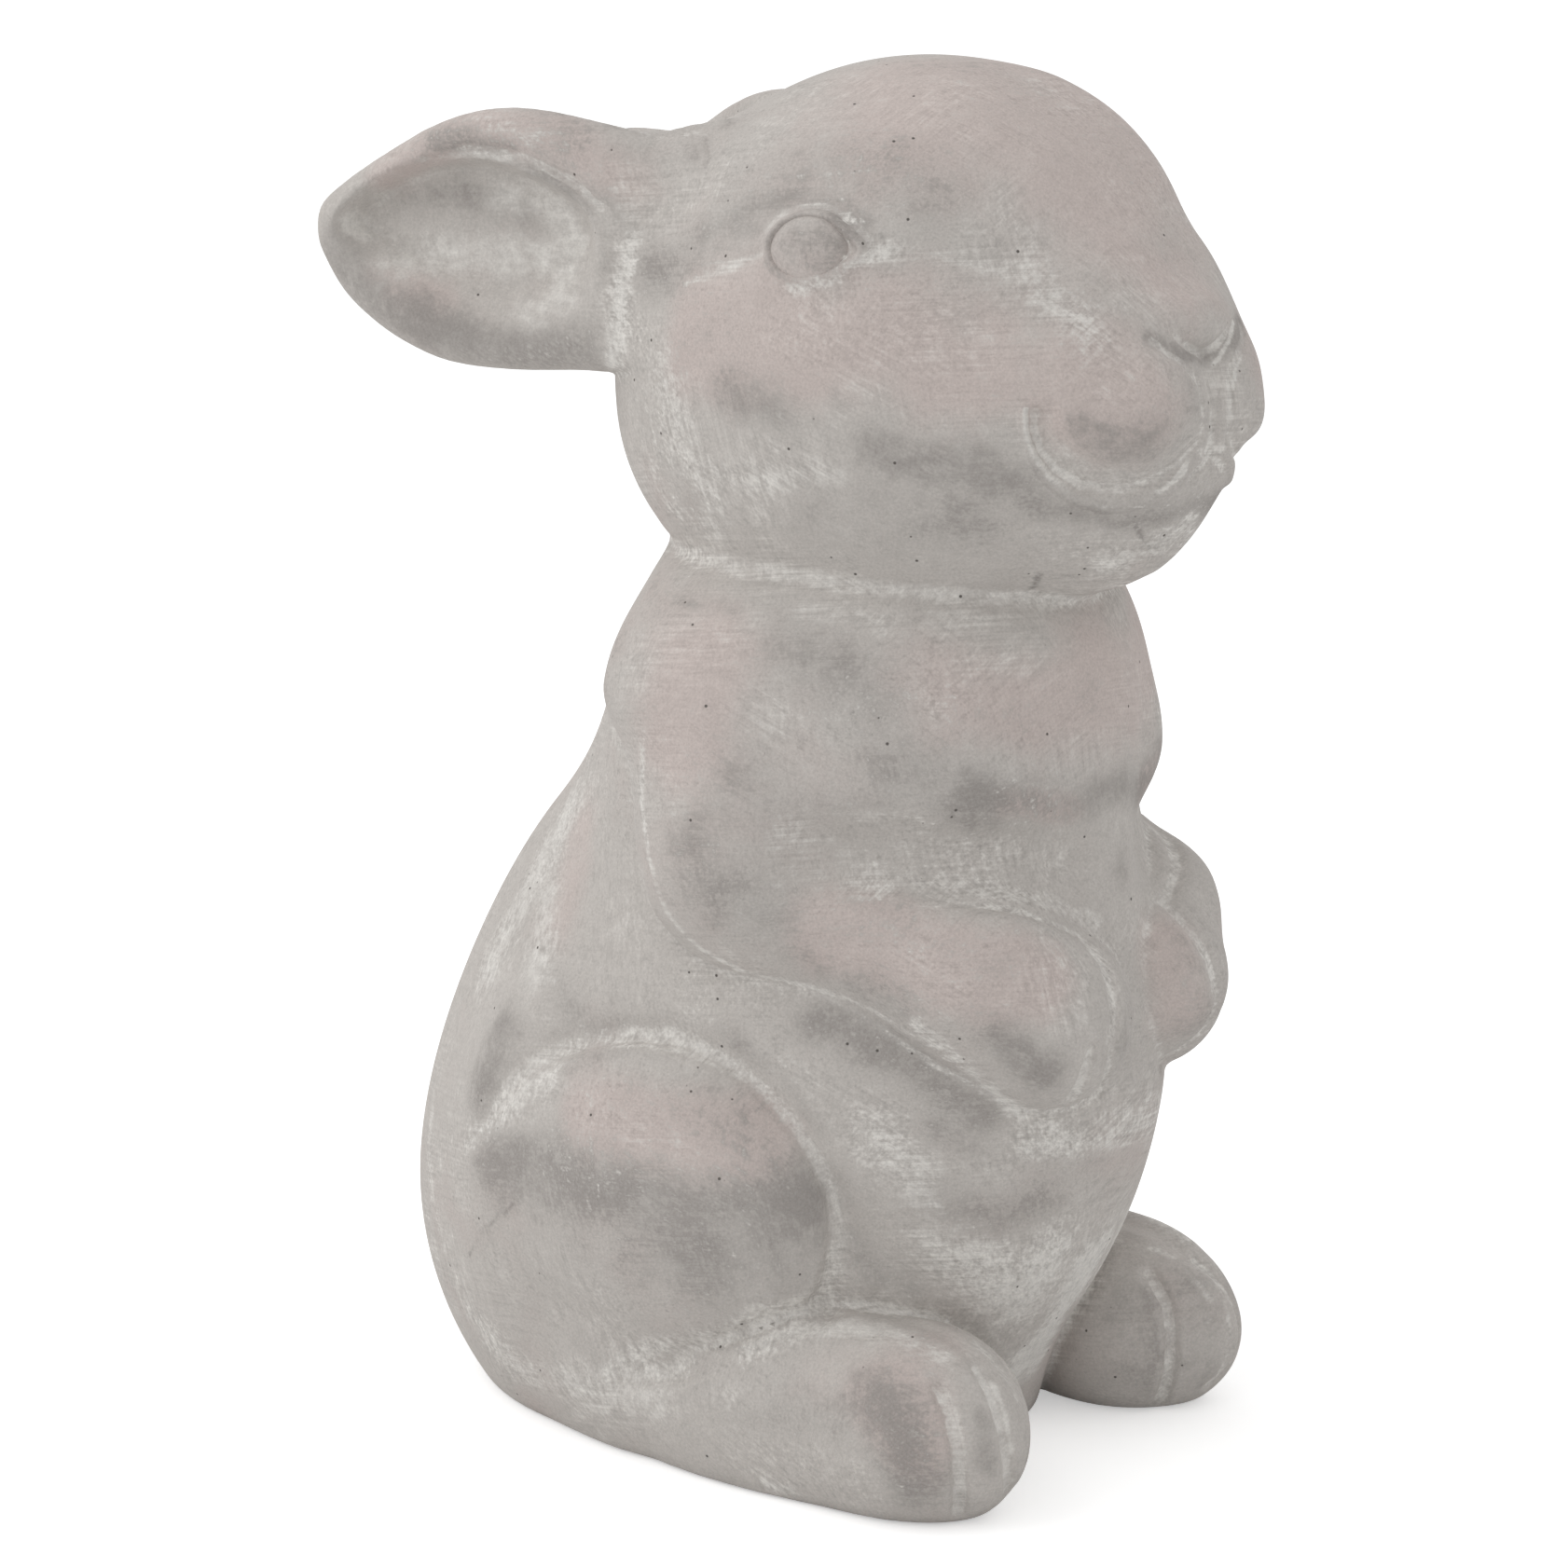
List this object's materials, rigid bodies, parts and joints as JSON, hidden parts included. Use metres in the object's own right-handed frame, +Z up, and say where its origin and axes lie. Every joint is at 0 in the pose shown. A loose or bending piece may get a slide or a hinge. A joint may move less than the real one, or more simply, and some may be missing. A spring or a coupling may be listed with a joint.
{
  "type": "rabbit statue",
  "caption": "Sitting rabbit statue with forepaws held before its chest, ears laid back, hollow cast in a rubbed pale grey finish.",
  "frame": {"origin": "middle of the ground under the rabbit, between its hind feet and its rump", "axes": "+Z up, -Y the way the rabbit faces, +X the rabbit's own left"},
  "size_m": [0.1468, 0.2134, 0.307],
  "materials": {
    "trunk": "matt, pale wash rubbed into the hollows",
    "head": "matt, pale wash rubbed into the hollows",
    "plate": "matt, bare",
    "ears": "matt, brushed along the ear",
    "eyes": "matt",
    "limbs": "matt, pale wash rubbed into the hollows",
    "tail": "matt"
  },
  "bodies": {
    "root": {"trunk_shell": "trunk", "head_shell": "head", "base_plate": "plate", "ear_left": "ears", "ear_right": "ears", "eye_left": "eyes", "eye_right": "eyes", "foreleg_left": "limbs", "foreleg_right": "limbs", "haunch_left": "limbs", "haunch_right": "limbs", "hind_foot_left": "limbs", "hind_foot_right": "limbs", "tail": "tail"}
  },
  "joints": []
}
